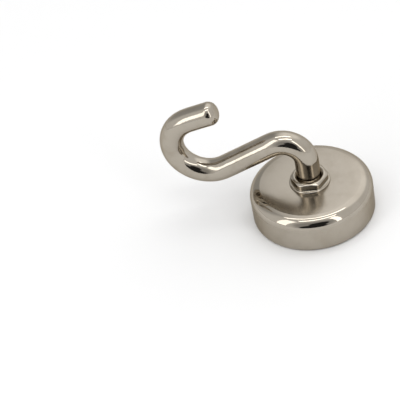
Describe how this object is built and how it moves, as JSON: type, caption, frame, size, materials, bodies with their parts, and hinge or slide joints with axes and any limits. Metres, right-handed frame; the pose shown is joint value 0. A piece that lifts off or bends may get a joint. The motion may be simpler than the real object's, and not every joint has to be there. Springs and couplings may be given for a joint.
{
  "type": "hook magnet",
  "caption": "Round nickel-plated pot magnet with a lock nut and a bent wire hook screwed into its base, standing on its flat magnet face.",
  "frame": {"origin": "centre of the magnet face, in the plane of the cup's rim", "axes": "+Z along the cup's axis from the magnet face to the hook; +X from the axis towards the hook's loop"},
  "size_m": [0.042, 0.025, 0.0276],
  "materials": {
    "cup_nickel": "nickel plate over pressed steel, satin with a polished top edge",
    "magnet_nickel": "matt nickel plate",
    "potting_resin": "dull grey-brown cast resin",
    "nut_nickel": "polished nickel plate",
    "hook_nickel": "polished nickel plate"
  },
  "bodies": {
    "pot": {"steel_cup": "cup_nickel", "magnet_disc": "magnet_nickel", "potting_resin": "potting_resin"},
    "hook": {"hook": "hook_nickel"},
    "nut": {"lock_nut": "nut_nickel"}
  },
  "joints": [
    {"name": "hook_turn", "type": "hinge", "parent": "pot", "child": "hook", "pos_m": [0, 0, 0.0077], "axis": [0, 0, 1], "continuous": true},
    {"name": "nut_turn", "type": "hinge", "parent": "hook", "child": "nut", "pos_m": [0, 0, 0.0077], "axis": [0, 0, 1], "continuous": true}
  ]
}
